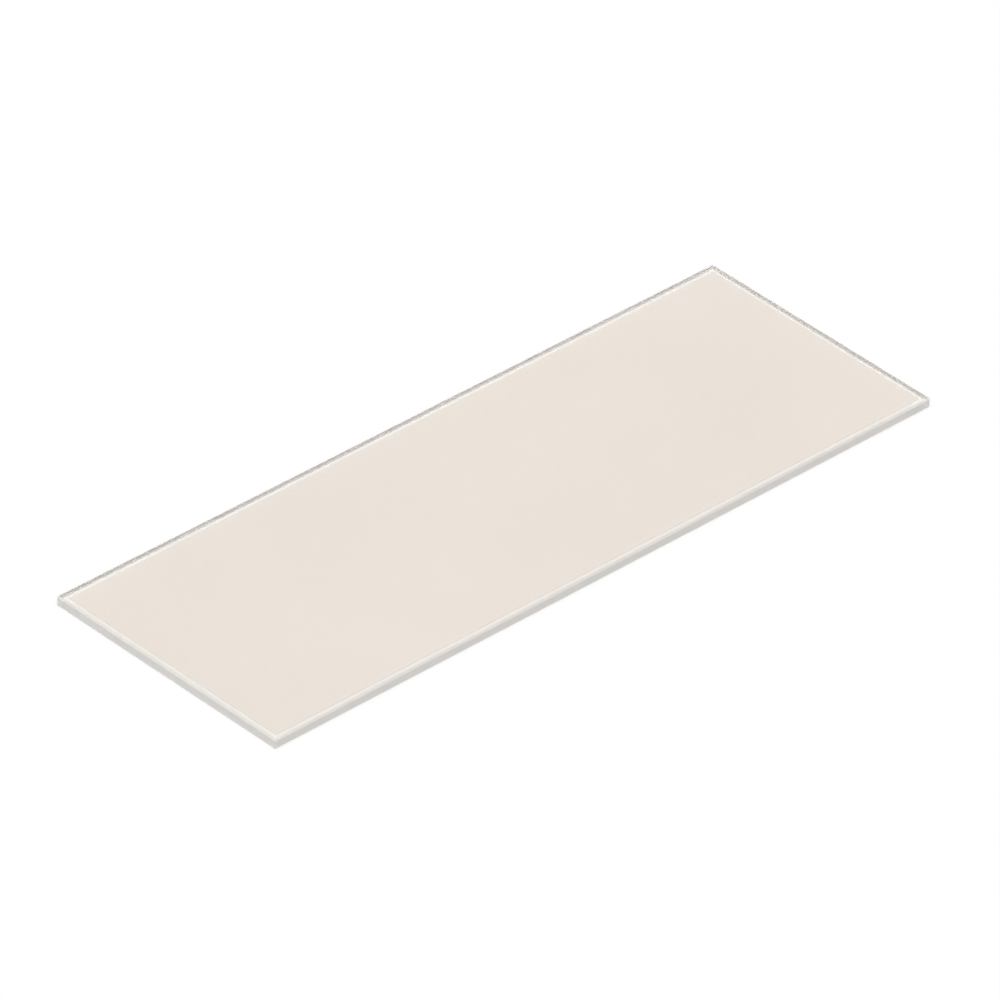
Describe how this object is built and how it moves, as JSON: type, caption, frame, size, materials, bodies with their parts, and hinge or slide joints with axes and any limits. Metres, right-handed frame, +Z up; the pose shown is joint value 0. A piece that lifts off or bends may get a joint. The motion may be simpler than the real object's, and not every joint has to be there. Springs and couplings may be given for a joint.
{
  "type": "microscope slide",
  "caption": "Thin rectangular glass plate with ground, bevelled edges and a cream translucent frosting printed over one whole face, for carrying a specimen under a microscope.",
  "frame": {"origin": "middle of the underside, the plain face that the slide rests on", "axes": "+X along the length, +Y along the width, +Z up through the thickness, out of the frosted face"},
  "size_m": [0.075, 0.025, 0.001],
  "materials": {
    "frosted_glass": "clear soda-lime glass under a matt cream printed frosting, with fine-ground edges"
  },
  "bodies": {
    "root": {"slide": "frosted_glass"}
  },
  "joints": []
}
